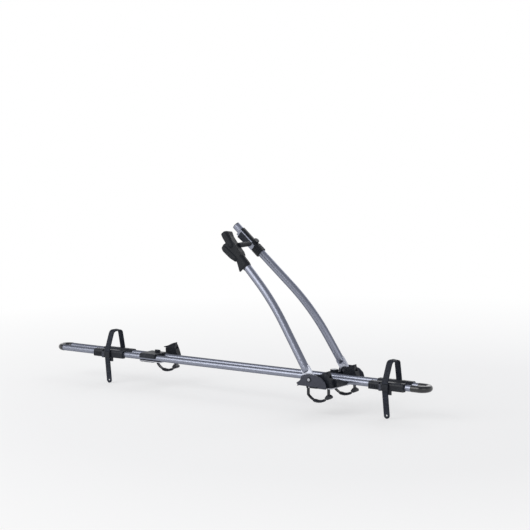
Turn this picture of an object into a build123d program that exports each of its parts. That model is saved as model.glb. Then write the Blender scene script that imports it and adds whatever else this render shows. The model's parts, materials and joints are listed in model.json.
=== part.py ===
from build123d import *
import os
from math import cos, radians, sin

# Upright roof mounted bike carrier: a wheel tray with two strapped wheel holders, a front foot and a
# sliding rear foot that clamp to the load bars, and two hinged arms that hold the frame tube.
# Frame: origin at the middle of the seat on the front load bar, +X to the tray's front end,
# -Y to the side with the wide arm, +Z up. Lengths are in millimetres, angles in degrees.

# Fits
pin_fit = 0.05           # radial clearance of a pin that turns
gap = 0.3                # clearance between pieces that move past each other
overrun = 1.0            # how far a cutting shape runs past the face that it opens
edge_round = 1.0         # the usual rounding of a moulded edge
full_turn = 360.0

# Load bars, 60 mm wide and 30 mm high, that the carrier is made for
bar_spacing = 741.0

# Wheel tray: one aluminium extrusion with a tubular flange on each side
rail_front = 290.0       # from the front load bar to the front end of the extrusion
rail_behind = 374.0      # from the rear load bar to its rear end: 1405 mm in all
rail_width = 64.0
flange_radius = 10.0
rail_wall = 2.0
web_thickness = 2.5
web_height = 8.7         # top of the web above the tray's underside
ridge_height = 2.5
ridge_width = 3.0
ridge_spacing = 16.0
slot_width = 11.0        # inside of the T-slot below the web
slot_mouth = 6.8
slot_wall = 1.8
slot_lip = 1.6

# End loops of the tray
cap_radius = 10.8        # the loop is a little fuller than the flange that it ends
front_cap_prong = 24.0
rear_cap_prong = 1.5
cap_plug = 22.0          # length that is pushed into each flange
cap_bridge = 3.0

# Feet
pad_thickness = 2.0
pad_width = 54.0
plate_thickness = 3.0
foot_rear = 34.0         # from the bar's middle to the plate's rear edge
foot_front = 58.0        # from the bar's middle to the plate's front edge
foot_neck_rear = 46.0    # the plate is wider where the tray is bolted to it
foot_neck_half = 20.0    # half length of that wide stretch
foot_corner = 5.0
groove_share = 0.6
groove_width = 4.0
groove_depth = 0.8
cover_high = 30.0
cover_low = 14.0
cover_flat = 9.0
cover_round = 3.0
cover_wall = 2.5
cover_rear = 8.0
cover_front = 61.5
nose_x = -46.0           # knob on the far foot
nose_y = 57.0
nose_half = 12.0
nose_step = 14.5
nose_top = 23.5
foot_knob_radius = 13.0
foot_knob_height = 6.5
foot_knob_notches = 12
knob_disc_radius = 10.5
tray_bolt_x = 40.0       # the tray's two bolts, before and behind the bar
tray_bolt_radius = 3.0
bolt_head_width = 10.0
bolt_head_height = 4.0
nut_width = 10.0
nut_height = 5.0

# Arm pivots, on one line across both sides
pivot_x = -20.5
pivot_z = 26.0
pivot_radius = 4.0
pivot_head_radius = 5.0
pivot_head_height = 2.5
pivot_washer_radius = 8.0
washer_thickness = 1.0
side_plate = 3.0
near_tongue_y = -108.0
far_tongue_y = 84.0
tongue_thickness = 8.0
tongue_width = 30.5
tongue_length = 42.0     # from the pivot to the tube's end
tongue_fold = 22.0       # from the pivot to the fold that leans the arm inwards
flange_thickness = 4.5   # moulded flanges of the foot, on both sides of a tongue
flange_disc = 13.0
foot_base = 3.0
low_rivet_radius = 2.2
low_head_step = 0.7
tongue_gap = 0.4
cheek_reach = 12.5       # from a tongue's middle to the outer face of its cheek
plate_reach = 6.5        # from a tongue's middle to the end of the foot's plate
clevis_rear = -31.5
clevis_front = 2.0
skirt_low = 0.3
skirt_rear = -31.0
skirt_front = 7.0
cheek_points = (
    (-69.5, 11.5),
    (-64, 7.5),
    (-68, 2.0),
    (-58.5, 5),
    (10, 5),
    (17, 1),
    (41.5, 1),
    (42.5, 10),
    (38, 23),
    (24.5, 35),
    (-1.5, 42),
    (-28.5, 42.5),
    (-49.5, 37),
    (-54.5, 22),
)
cheek_radii = (0.8, 1, 0.8, 3, 3, 3, 2, 10, 12, 14, 16, 14, 6, 6)
cheek_bevel = 0.6

# Arms
near_lower_angle = 53.5
near_upper_angle = 42.5
near_straight = 201.0    # from the pivot to the start of the bend
near_bend_radius = 900.0
near_reach = 520.0       # length of the arm along its line
near_lean = 0.1575       # sideways for each unit of height
near_tube_deep = 26.5    # the oval tube, seen from the side, at its foot
near_tube_top = 26.0     # the same where the tube enters the claw
near_tube_wide = 22.0
far_lower_angle = 59.0
far_upper_angle = 42.0
far_straight = 120.0
far_bend_radius = 700.0
far_beyond = 80.0        # how much longer the far arm is
far_lean = -0.10
far_tongue_width = 30.0
far_tube_deep = 26.0
far_tube_wide = 22.0
tube_wall = 2.0
spigot_length = 34.0
arm_rivet_radius = 2.5
arm_rivet_step = 16.0
arm_rivet_count = 2
arm_rivet_head = 1.2
rivet_start_share = 0.6  # first rivet, as a part of the step between two

# Near claw, in the arm's direction and square to it, from its seat on the arm
claw_grip = 41.0         # from the claw's seat on the arm to the tube's end
claw_thickness = 27.0
claw_points = (
    (-8, -17),
    (14, -24.5),
    (50, -30),
    (63, -27),
    (66, -12),
    (62, -5),
    (84, -2.5),
    (98, 1),
    (96, 16),
    (87, 27),
    (69, 21),
    (45, 19),
    (4, 18),
    (-8, 14),
)
claw_radii = (1, 12, 10, 6, 5, 2, 8, 5, 6, 5, 8, 8, 3, 2)
claw_wall = 3.0          # wall of the oval sleeve round the tube
claw_sleeve = 43.0       # length of the sleeve below the claw's seat
claw_ring = 6.0          # thin ring at the sleeve's lower end
claw_ring_wall = 1.6
fin_points = ((-43, -8), (-43.5, -26.5), (-22, -17.5), (-8, -12), (-8, -8))
fin_near = 12.0          # near face of the fin, from the arm's middle
fin_thickness = 8.0
lobe_low = ((0, -10), (53, -18))
lobe_high = ((42, 7), (83, 13))
lobe_low_radius = 10.0
lobe_high_radius = 11.0
lobe_share = 0.55        # part of a lobe's radius that is sunk into the claw
pad_depth = 6.0
pad_start = 4.0
pad_end = 61.0
pad_middle = -2.0
claw_pad_width = 32.0
pad_flutes = 6
flute_radius = 1.6
finger_radius = 8.5
finger_length = 65.5
finger_along = 32.0
finger_across = 18.6
finger_root = 6.0        # where it starts, from the arm's middle towards the far side

# Far jaw, from its seat on the far arm
jaw_grip = 127.0         # from the sleeve's lower end to the tube's end
collar_length = 28.0
collar_half = 14.5
collar_above = 15.5
collar_drop = 0.7        # the collar sits a little low on the sleeve
collar_round = 11.0
collar_ribs = 4
collar_rib_rise = 0.8
sleeve_length = 102.0
sleeve_above = 15.0
sleeve_half = 13.3
sleeve_round = 12.0
bracket_width = 21.5
bracket_thickness = 3.7
bracket_middle = -0.5
bracket_back = 6.0       # how near to the arm's middle the channel's edges reach
far_pad_start = 50.0
far_pad_length = 42.0
far_pad_depth = 6.0
jaw_knob_radius = 9.0
jaw_knob_height = 5.5
jaw_knob_along = 39.0
jaw_boss = 4.0
jaw_knob_flutes = 10
jaw_screw_radius = 3.0
plug_depth = 14.0

# Load bar clamps
clamp_width = 20.0
clamp_rear_x = 3.0       # rear face of the housing
clamp_foot = 54.0        # front face of the housing's foot
clamp_toe_z = 14.0
clamp_front_x = 46.5     # front face of the housing below its ears
clamp_heel_z = 34.0
clamp_height = 56.0
clamp_crown_x = 41.0
clamp_crown_run = 12.0
clamp_ear_radius = 7.0
clamp_lip_x = 9.0
clamp_tab = 6.0          # width of the lip
lip_thickness = 2.5
lever_low = 35.5
lever_nose = 8.0
lever_step = 4.0
lever_swing = 14.5       # space for the lever's nose as it turns
near_clamp_y = -99.0
far_clamp_y = 46.0
rear_clamp_y = 76.0
clamp_ear = 3.5
clamp_pin_x = 33.0
clamp_pin_z = 44.0
clamp_pin_radius = 2.5
hook_band = 3.0          # thickness of the steel hook under the bar
hook_leg_x = 38.0
hook_drop = 44.0
hook_bend_z = -24.0
hook_eye_radius = 4.5
hook_rod_radius = 2.5
hook_rod_z = 7.5
hook_width = 12.0
hook_top = 29.0
hook_swing = 2.8         # how far the leg may move forward as the hook turns
hook_block = 20.0        # the moulded corner below the front leg
hook_block_half = 9.0
hook_rise = 5.0
knuckle_reach = 10.0

# Rear foot
saddle_length = 64.0
saddle_offset = 5.0      # from the rear bar's middle to the saddle's middle
saddle_cover = 3.5
saddle_side = 4.0
saddle_skirt = 14.0      # height at which the saddle's near side ends
saddle_slope = 5.0
saddle_rib_pitch = 13.0
saddle_ribs = 5
rear_plate_near = -30.0
knob_length = 20.0
knob_width = 9.0
knob_height = 8.0
knob_offset = 13.0       # from the rear bar's middle to the knob's stem
knob_y = 12.0
knob_stem_radius = 4.0
scoop_share = 0.72

# Wheel holders
front_holder_step = 146.0  # from the tray's front end back to the front holder's rear face
rear_holder_step = 225.0   # from the rear load bar back to the rear holder's rear face
holder_block = 38.0      # ribbed block
holder_neck = 8.0
holder_cradle = 78.0
shoulder_round = 10.0
sole_round = 4.0
holder_wall = 6.5        # outside the flange
block_wall = 7.5
block_top = 27.0
cradle_top = 27.5
trough_floor = 2.0
trough_half = 9.0
trough_shoulder = 18.0
hook_thickness = 2.7
tab_thickness = 5.0
block_ribs = 6
block_rib_depth = 1.2
rib_share = 0.5          # part of each pitch that stands proud
strap_width = 20.0
strap_thickness = 3.0
strap_top = 91.0
strap_shoulder_z = 62.0
strap_shoulder_y = 30.0
strap_crown_y = 21.0
strap_foot_z = 28.0
strap_bend = 30.0
strap_crown = 13.0
strap_tail = 89.0        # how far the tail hangs below the load bar's top
strap_start = 51.5       # from the holder's rear face to the strap
strap_lean = 5.0         # the loop and its tail lean forward, away from the tray
strap_entry = 6.0        # straight stretch of the loop above the buckle
rung_pitch = 5.5
rung_height = 1.0
rung_share = 0.45
tail_hole_radius = 3.0
buckle_wall = 2.0
buckle_top = 22.0
release_width = 8.4
release_thickness = 5.0
release_length = 17.0
release_pin_radius = 1.5
release_pin_z = 19.0
tab_width = 10.0
tab_drop = 12.0
anchor_pin_radius = 1.2
anchor_pin_z = 13.0

# Heights and places that follow
rail_z = pad_thickness + plate_thickness
rail_rear = -bar_spacing - rail_behind
flange_y = rail_width / 2 - flange_radius
flange_z = rail_z + flange_radius
rail_top = rail_z + 2 * flange_radius
web_z = rail_z + web_height
ridge_top = web_z + ridge_height
front_holder_x = rail_front - front_holder_step
rear_holder_x = -bar_spacing - rear_holder_step
knob_x = knob_offset - bar_spacing
strap_y = rail_width / 2 + holder_wall + gap + strap_thickness / 2
slot_half = strap_thickness / 2 + rung_height + gap
far_reach = near_reach + far_beyond
claw_seat = near_reach - claw_grip
jaw_seat = far_reach - jaw_grip
near_plate_end = plate_reach - near_tongue_y
far_plate_end = plate_reach + far_tongue_y


def block(x0, x1, y0, y1, z0, z1):
    """Box between two corners."""
    middle = Pos((x0 + x1) / 2, (y0 + y1) / 2, (z0 + z1) / 2)
    return middle * Box(abs(x1 - x0), abs(y1 - y0), abs(z1 - z0))


def side_plane(y):
    """Plane across the carrier: drawn in X and Z."""
    return Plane(origin=(0, y, 0), x_dir=(1, 0, 0), z_dir=(0, -1, 0))


def end_plane(x):
    """Plane square to the tray: drawn in Y and Z."""
    return Plane(origin=(x, 0, 0), x_dir=(0, 1, 0), z_dir=(1, 0, 0))


def across(face, y0, y1):
    """Face drawn in X and Z, extruded from y0 to y1."""
    return extrude(side_plane((y0 + y1) / 2) * face, amount=abs(y1 - y0) / 2, both=True)


def along(face, x0, x1):
    """Face drawn in Y and Z, extruded from x0 to x1."""
    return extrude(end_plane((x0 + x1) / 2) * face, amount=abs(x1 - x0) / 2, both=True)


def upward(face, z0, z1):
    """Face drawn in X and Y, extruded from z0 to z1."""
    return extrude(Plane.XY.offset(z0) * face, amount=z1 - z0)


def bar_y(x, z, radius, y0, y1):
    """Round bar across the carrier."""
    return across(Pos(x, z) * Circle(radius), y0, y1)


def bar_x(y, z, radius, x0, x1):
    """Round bar along the tray."""
    return along(Pos(y, z) * Circle(radius), x0, x1)


def outline(points, radius=0):
    """Closed face through points, with every corner rounded alike."""
    face = make_face(Polyline(*points, close=True))
    return fillet(face.vertices(), radius) if radius else face


def save(name, *shapes):
    """One STEP file for each named piece, or for each group of alike pieces."""
    solids = []
    for shape in shapes:
        solids.extend(shape.solids())
    piece = solids[0] if len(solids) == 1 else Compound(children=solids)
    piece.label = name
    export_step(piece, f"parts/{name}.step")


# Wheel tray

def rail_profile():
    """Two tubes, a ribbed web between them and a T-slot below it."""
    slot_height = web_z - web_thickness - rail_z
    face = Pos(0, web_z - web_thickness / 2) * Rectangle(2 * flange_y, web_thickness)
    lip_width = (slot_width - slot_mouth) / 2 + slot_wall
    for side in (-1, 1):
        face += Pos(side * flange_y, flange_z) * Circle(flange_radius)
        leg_y = side * (slot_width + slot_wall) / 2
        face += Pos(leg_y, rail_z + slot_height / 2) * Rectangle(slot_wall, slot_height)
        lip_y = side * (slot_mouth + lip_width) / 2
        face += Pos(lip_y, rail_z + slot_lip / 2) * Rectangle(lip_width, slot_lip)
        ridge = Rectangle(ridge_width, ridge_height + web_thickness)
        ridge_y = side * ridge_spacing / 2
        face += Pos(ridge_y, web_z + (ridge_height - web_thickness) / 2) * ridge
    for side in (-1, 1):
        face -= Pos(side * flange_y, flange_z) * Circle(flange_radius - rail_wall)
    return face


def end_cap(x_end, direction, prong):
    """Loop that plugs into both flanges and joins them round the tray's end."""
    bend_x = x_end + direction * prong
    path = Polyline((x_end, -flange_y, flange_z), (bend_x, -flange_y, flange_z))
    path += ThreePointArc(
        (bend_x, -flange_y, flange_z),
        (bend_x + direction * flange_y, 0, flange_z),
        (bend_x, flange_y, flange_z),
    )
    path += Polyline((bend_x, flange_y, flange_z), (x_end, flange_y, flange_z))
    start = Plane(origin=(x_end, -flange_y, flange_z), z_dir=(direction, 0, 0))
    cap = sweep(start * Circle(cap_radius), path=path)
    plug_end = x_end - direction * cap_plug
    for side in (-1, 1):
        plug_radius = flange_radius - rail_wall
        cap += bar_x(side * flange_y, flange_z, plug_radius, plug_end, x_end + direction * overrun)
    bridge_end = x_end + direction * cap_bridge
    return cap + block(x_end, bridge_end, -flange_y, flange_y, rail_z, ridge_top)


def rail_space():
    """Section of the space that a sliding piece leaves round the tray."""
    space_top = ridge_top + gap
    space_bottom = rail_z - hook_thickness - overrun
    face = Pos(0, (space_top + space_bottom) / 2) * Rectangle(
        2 * flange_y, space_top - space_bottom
    )
    for side in (-1, 1):
        face += Pos(side * flange_y, flange_z) * Circle(flange_radius + gap)
    return face


# Wheel holders

def holder_profile(wall, top):
    """A trough for the tyre on two walls that hook under the tray's flanges."""
    half = rail_width / 2 + wall
    floor = ridge_top + gap + trough_floor
    bottom = rail_z - gap - hook_thickness
    side = [(half, bottom), (half, top), (trough_shoulder, top), (trough_half, floor)]
    face = outline(side + [(-y, z) for y, z in reversed(side)])
    outer = [v for v in face.vertices() if abs(abs(v.X) - half) < gap]
    upper = [v for v in outer if v.Y > flange_z]
    lower = [v for v in outer if v.Y < flange_z]
    face = fillet(upper, min(shoulder_round, top - trough_shoulder))
    face = fillet([nearest(face, v) for v in lower], sole_round)
    return face - rail_space()


def nearest(face, vertex):
    """The vertex of a face at the place of a vertex of an earlier form of it."""
    return min(face.vertices(), key=lambda v: abs(v.X - vertex.X) + abs(v.Y - vertex.Y))


def strap_span(x0):
    """Rear and front edge of the strap of the holder that starts at x0."""
    return x0 + strap_start, x0 + strap_start + strap_width


def cradle(x0):
    """Cradle, its neck, and the covers that the strap passes behind."""
    neck_x = x0 + holder_block
    cradle_x = neck_x + holder_neck
    end_x = cradle_x + holder_cradle
    body = along(holder_profile(holder_wall, cradle_top), cradle_x, end_x)
    body += along(holder_profile(holder_wall / 2, cradle_top), neck_x, cradle_x + overrun)
    x1, x2 = strap_span(x0)
    outer = strap_y + slot_half + buckle_wall
    inner = rail_width / 2 + holder_wall - overrun
    low = rail_z - gap - hook_thickness
    for side in (-1, 1):
        cover = block(
            x1 - buckle_wall - gap,
            x2 + buckle_wall + gap,
            side * inner,
            side * outer,
            low,
            buckle_top,
        )
        uprights = cover.edges().filter_by(Axis.Z).group_by(Axis.Y)
        body += fillet(uprights[0 if side < 0 else -1], edge_round)
    for side in (-1, 1):
        body -= block(
            x1 - gap,
            x2 + gap,
            side * (strap_y - slot_half),
            side * (strap_y + slot_half),
            low - overrun,
            cradle_top + overrun,
        )
    tab_x = x2 + gap
    tab_y = -(rail_width / 2 + holder_wall)
    tab = block(tab_x, tab_x + tab_width, tab_y, tab_y + tab_thickness, low - tab_drop, flange_z)
    body += tab - along(rail_space(), tab_x - overrun, tab_x + tab_width + overrun)
    body += release_ear(x0)
    return body - anchor_pin(x0) - release_pin(x0)


def clamp_block(x0):
    """Ribbed block at the rear of a wheel holder."""
    body = along(holder_profile(block_wall, block_top), x0, x0 + holder_block)
    half = rail_width / 2 + block_wall
    pitch = holder_block / block_ribs
    rib = pitch * rib_share
    for number in range(block_ribs):
        rib_x = x0 + (number + rib_share) * pitch
        for side in (-1, 1):
            body += block(
                rib_x - rib / 2,
                rib_x + rib / 2,
                side * (half + block_rib_depth),
                side * (half - overrun),
                rail_z + overrun,
                block_top - shoulder_round,
            )
    return body


def strap_path():
    """Line of the loop over the wheel, from the near buckle to the far one, in Y and Z."""
    low = strap_foot_z - strap_entry
    side = [
        (strap_y, low),
        (strap_y, strap_foot_z),
        (strap_shoulder_y, strap_shoulder_z),
        (strap_crown_y, strap_top),
    ]
    points = [(-y, z) for y, z in side] + list(reversed(side))
    radii = [strap_bend, strap_bend, strap_crown]
    return FilletPolyline(*points, radius=radii + list(reversed(radii)))


def rungs(path, first, last):
    """Cross ribs on the outside of the strap, between two distances along its line."""
    made = []
    rung = rung_pitch * rung_share
    lift = strap_thickness / 2
    for number in range(int((last - first) / rung_pitch)):
        distance = first + (number + rung_share) * rung_pitch
        point = path.position_at(distance, PositionMode.LENGTH)
        tangent = path.tangent_at(distance, PositionMode.LENGTH)
        seat = Plane(origin=point, x_dir=(0, 0, 1), z_dir=(-tangent.Y, tangent.X, 0))
        rib = Box(strap_width - 2 * edge_round, rung, 2 * rung_height)
        made.append(seat * Pos(0, 0, lift) * rib)
    return made


def ladder_strap(x0):
    """Loop over the wheel, with the tail that hangs from the buckle."""
    x1, x2 = strap_span(x0)
    middle = (x1 + x2) / 2
    low = strap_foot_z - strap_entry
    path = strap_path()
    start = Plane(origin=(-strap_y, low, 0), x_dir=(0, 0, 1), z_dir=(0, 1, 0))
    loop = sweep(start * Rectangle(strap_width, strap_thickness), path=path)
    loop += rungs(path, strap_entry, path.length / 2)
    loop = lean(end_plane(middle) * loop, middle, low, strap_lean)
    near = -strap_y
    for side, foot_z in ((-1, rail_z), (1, anchor_pin_z)):
        inner = side * (strap_y - strap_thickness / 2)
        outer = side * (strap_y + strap_thickness / 2)
        loop += block(x1, x2, inner, outer, foot_z, low + overrun)
    loop += bar_x(strap_y, anchor_pin_z, slot_half - gap, x1, x2)
    end_z = rail_z - strap_tail
    eye_z = end_z + strap_width / 2
    tail = Pos(middle, (rail_z + eye_z) / 2) * Rectangle(strap_width, rail_z - eye_z)
    tail += Pos(middle, eye_z) * Circle(strap_width / 2)
    tail -= Pos(middle, eye_z) * Circle(tail_hole_radius)
    tail = across(tail, near - strap_thickness / 2, near + strap_thickness / 2)
    outer = near - strap_thickness / 2
    rung = rung_pitch * rung_share
    for number in range(1, int((rail_z - end_z - strap_width) / rung_pitch)):
        z = rail_z - number * rung_pitch
        rib_x = strap_width / 2 - edge_round
        tail += block(middle - rib_x, middle + rib_x, outer - rung_height, outer, z - rung, z)
    tail = lean(tail, middle, rail_z, -strap_lean)
    return loop + tail - anchor_pin(x0)


def lean(shape, x, z, angle):
    """Turn a shape in the side view about a point."""
    return Pos(x, 0, z) * Rot(0, angle, 0) * Pos(-x, 0, -z) * shape


def release_places(x0):
    """Front end of the thumb lever and the middle of its pin across the carrier."""
    front = strap_span(x0)[0] - buckle_wall - 2 * gap
    middle_y = -(rail_width / 2 + holder_wall) - gap - release_thickness / 2
    return front, middle_y


def release_lever(x0):
    """Thumb lever that lets the strap go: a flared tab on a pin along the tray."""
    front, y = release_places(x0)
    half = release_thickness / 2
    low = release_pin_z - release_length
    tab = outline(
        [
            (y + half, release_pin_z),
            (y + half, low + edge_round),
            (y - half, low - edge_round),
            (y - half - edge_round, low + edge_round),
            (y - half, release_pin_z),
        ]
    )
    tab += Pos(y, release_pin_z) * Circle(half)
    tab -= Pos(y, release_pin_z) * Circle(release_pin_radius + pin_fit)
    return along(tab, front - release_width, front)


def release_ear(x0):
    """Ear on the cradle that carries the rear end of the thumb lever's pin."""
    front, y = release_places(x0)
    base_y = overrun - rail_width / 2 - holder_wall / 2
    ear = Pos(y, release_pin_z) * Circle(release_thickness / 2)
    ear += Pos((y + base_y) / 2, release_pin_z) * Rectangle(base_y - y, release_thickness)
    front -= release_width + gap
    return along(ear, front - buckle_wall, front)


def release_pin(x0):
    """Pin of the thumb lever, held by the ear at its rear and by the buckle's cover."""
    front, y = release_places(x0)
    rear = front - release_width - gap - buckle_wall
    return bar_x(y, release_pin_z, release_pin_radius, rear, front + gap + buckle_wall)


def anchor_pin(x0):
    """Pin through the far end of the strap."""
    x1, x2 = strap_span(x0)
    reach = gap + buckle_wall
    return bar_x(strap_y, anchor_pin_z, anchor_pin_radius, x1 - reach, x2 + reach)


# Load bar clamps, drawn about the middle of the bar

def clamp_top():
    """Lever from the side: a lip that points to the rear and a humped back."""
    x1 = clamp_pin_x + lever_nose
    return [
        (-clamp_lip_x, lever_low + lip_thickness),
        (-clamp_lip_x, lever_low),
        (clamp_pin_x - lever_nose, lever_low),
        (x1, clamp_pin_z - lever_nose),
        (x1 + edge_round, clamp_pin_z),
        (clamp_crown_x, clamp_height),
        (clamp_crown_x - clamp_crown_run, clamp_height - lever_step),
        (clamp_rear_x + lever_nose, lever_low + lever_nose),
    ]


def clamp_lever(x, y):
    """Cam lever that pulls the hook up against the bar."""
    half = clamp_width / 2 - clamp_ear - gap
    profile = outline(clamp_top(), edge_round / 2)
    lever = Pos(x, 0, 0) * across(profile, y - half, y + half)
    for side in (-1, 1):
        lever -= block(
            x - clamp_lip_x - overrun,
            x,
            y + side * clamp_tab / 2,
            y + side * clamp_width,
            lever_low - overrun,
            clamp_height,
        )
    bore = bar_y(x + clamp_pin_x, clamp_pin_z, clamp_pin_radius + pin_fit, y - half, y + half)
    return lever - bore


def clamp_pin(x, y):
    """Pin through the two ears of the housing."""
    half = clamp_width / 2
    return bar_y(x + clamp_pin_x, clamp_pin_z, clamp_pin_radius, y - half, y + half)


def clamp_housing(x, y, base):
    """Upright housing with two ears for the lever and a well for the hook's front leg."""
    profile = outline(
        [
            (clamp_rear_x, base),
            (clamp_rear_x, lever_low - gap),
            (clamp_pin_x - clamp_ear_radius, lever_low),
            (clamp_pin_x - clamp_ear_radius, clamp_pin_z + clamp_ear_radius / 2),
            (clamp_pin_x, clamp_pin_z + clamp_ear_radius),
            (clamp_pin_x + clamp_ear_radius, clamp_pin_z + clamp_ear_radius / 2),
            (clamp_front_x, clamp_heel_z),
            (clamp_foot, clamp_toe_z),
            (clamp_foot, base),
        ]
    )
    half = clamp_width / 2
    housing = across(profile, y - half, y + half)
    housing = fillet(housing.edges().filter_by(Axis.Z), edge_round)
    inner = half - clamp_ear
    housing -= block(-clamp_foot, clamp_foot, y - inner, y + inner, lever_low - gap, clamp_height)
    swing = lever_swing + gap
    housing -= bar_y(clamp_pin_x, clamp_pin_z, swing, y - inner, y + inner)
    well = hook_width / 2 + gap
    housing -= block(
        hook_leg_x - hook_band / 2 - gap,
        hook_leg_x + hook_band / 2 + hook_swing,
        y - well,
        y + well,
        base - overrun,
        clamp_pin_z,
    )
    housing = Pos(x, 0, 0) * housing
    return housing - clamp_pin(x, y)


def cup(half, depth, top):
    """Upright sides with a curved floor, from the side."""
    sides = Polyline((half, hook_bend_z), (half, top), (-half, top), (-half, hook_bend_z))
    return make_face(sides + ThreePointArc((-half, hook_bend_z), (0, -depth), (half, hook_bend_z)))


def clamp_hook(x, y):
    """Steel band under the bar: an eye on the rear rod, a curved floor and an upright leg."""
    half = hook_band / 2
    middle = hook_leg_x
    band = cup(middle + half, hook_drop, hook_top)
    band -= cup(middle - half, hook_drop - hook_band, hook_top + overrun)
    band -= Pos(-middle, hook_rod_z + hook_top / 2) * Rectangle(middle, hook_top)
    band += Pos(-middle, hook_rod_z) * Circle(hook_eye_radius)
    band -= Pos(-middle, hook_rod_z) * Circle(hook_rod_radius + pin_fit)
    hook = across(band, y - hook_width / 2, y + hook_width / 2)
    toe = hook_block / 2
    corner = outline(
        [
            (middle - toe, hook_bend_z - hook_rise),
            (middle - half - edge_round, hook_bend_z + hook_rise),
            (middle + half + edge_round, hook_bend_z + hook_rise),
            (middle + toe, hook_bend_z + edge_round),
            (middle + toe, hook_bend_z - hook_rise),
            (middle, hook_bend_z - 2 * hook_rise),
        ],
        edge_round,
    )
    hook += across(corner, y - hook_block_half, y + hook_block_half)
    return Pos(x, 0, 0) * hook


def hook_rod(x, y):
    """Rod that the hook's eye turns on."""
    half = knuckle_reach
    return bar_y(x - hook_leg_x, hook_rod_z, hook_rod_radius, y - half, y + half)


def hook_knuckles(x, y, low):
    """Two rings on the plate's rear edge that carry the rod."""
    made = []
    for side in (-1, 1):
        ring = Pos(-hook_leg_x, hook_rod_z) * Circle(hook_rod_z - low)
        reach = Pos(-(hook_leg_x + foot_rear) / 2, low + plate_thickness / 2)
        ring += reach * Rectangle(hook_leg_x - foot_rear + 2 * overrun, plate_thickness)
        inner = side * (hook_width / 2 + gap)
        ring -= Pos(-hook_leg_x, hook_rod_z) * Circle(hook_rod_radius)
        made.append(Pos(x, y, 0) * across(ring, inner, side * knuckle_reach))
    return made


# Front foot

def foot_side(y):
    """Side of the carrier and distance from its middle of an arm's tongue."""
    return (-1, -y) if y < 0 else (1, y)


def side_cheek(y):
    """Outer steel cheek of an arm's pivot, with the two-pronged beak at its rear."""
    side, reach = foot_side(y)
    face = make_face(FilletPolyline(*cheek_points, radius=cheek_radii, close=True))
    outer = reach + cheek_reach
    cheek = across(face, side * (outer - side_plate), side * outer)
    rim = cheek.faces().sort_by(Axis.Y)[0 if side < 0 else -1].edges()
    cheek = chamfer([edge for edge in rim if edge.center().Z > foot_base + rail_z], cheek_bevel)
    return cheek - bar_y(pivot_x, pivot_z, pivot_radius, side * reach, side * (outer + overrun))


def clevis(y):
    """Moulded foot with a flange on both sides of an arm's tongue and a skirt over the plate's end."""
    side, reach = foot_side(y)
    flange = outline(
        [
            (clevis_rear, rail_z),
            (pivot_x - flange_disc, pivot_z),
            (pivot_x + flange_disc, pivot_z),
            (clevis_front, rail_z),
        ]
    )
    flange += Pos(pivot_x, pivot_z) * Circle(flange_disc)
    free = tongue_thickness / 2 + tongue_gap
    wall = reach + cheek_reach - side_plate
    inner = reach - free - flange_thickness
    body = across(flange, side * (reach + free), side * wall)
    body += across(flange, side * inner, side * (reach - free))
    body += block(clevis_rear, clevis_front, side * inner, side * wall, rail_z, rail_z + foot_base)
    end = reach + plate_reach
    body += block(clevis_rear, clevis_front, side * end, side * wall, skirt_low, rail_z + overrun)
    outer = reach + cheek_reach
    body += block(skirt_rear, skirt_front, side * (end + overrun), side * outer, skirt_low, rail_z)
    body -= bar_y(pivot_x, pivot_z, pivot_radius, side * (inner - overrun), side * (wall + overrun))
    return body - low_rivet(y)


def pivot_pin(y):
    """Pin of an arm, with a round head on the outside and a flat one inside."""
    side, reach = foot_side(y)
    outer = reach + cheek_reach + washer_thickness
    inner = reach - tongue_thickness / 2 - tongue_gap - flange_thickness
    pin = bar_y(pivot_x, pivot_z, pivot_radius, side * (inner - overrun), side * outer)
    cap = outer + pivot_head_height
    head = bar_y(pivot_x, pivot_z, pivot_head_radius, side * outer, side * cap)
    rim = head.edges().sort_by(Axis.Y)[0 if side < 0 else -1]
    head = fillet(rim, pivot_head_height / 2)
    tail = bar_y(pivot_x, pivot_z, pivot_head_radius, side * (inner - 2 * overrun), side * inner)
    return pin + head + tail


def pivot_washer(y):
    """Dark ring under the pin's outer head."""
    side, reach = foot_side(y)
    face = reach + cheek_reach
    ring = Circle(pivot_washer_radius) - Circle(pivot_radius)
    return across(Pos(pivot_x, pivot_z) * ring, side * face, side * (face + washer_thickness))


def low_rivet(y):
    """Rivet in the skirt below the cheek."""
    side, reach = foot_side(y)
    outer = reach + cheek_reach
    z = (skirt_low + rail_z) / 2
    shank = low_rivet_radius - low_head_step
    rivet = bar_y(pivot_x, z, shank, side * (outer - side_plate), side * outer)
    return rivet + bar_y(pivot_x, z, low_rivet_radius, side * outer, side * (outer + washer_thickness))


def foot_plate():
    """Steel plate across the front bar, bolted below the tray, with the hooks' rings."""
    near = -near_plate_end
    face = Pos((foot_front - foot_rear) / 2, (near + far_plate_end) / 2) * Rectangle(
        foot_front + foot_rear, far_plate_end - near
    )
    face = fillet(face.vertices(), foot_corner)
    tail = foot_neck_rear + foot_corner
    face += Pos(-foot_neck_rear + tail / 2, 0) * RectangleRounded(tail, 2 * foot_neck_half, foot_corner)
    for side in (-1, 1):
        face -= Pos(side * tray_bolt_x, 0) * Circle(tray_bolt_radius)
    for y in (near_clamp_y, far_clamp_y):
        face -= leg_window(0, y)
    plate = upward(face, pad_thickness, rail_z)
    for y in (near_clamp_y, far_clamp_y):
        plate += hook_knuckles(0, y, pad_thickness)
    return plate


def leg_window(x, y):
    """Opening in a plate for the hook's front leg, in X and Y."""
    rear = hook_leg_x - hook_band / 2 - gap
    front = hook_leg_x + hook_band / 2 + hook_swing
    middle = Pos(x + (rear + front) / 2, y)
    return middle * Rectangle(front - rear, hook_width + 2 * gap)


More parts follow.
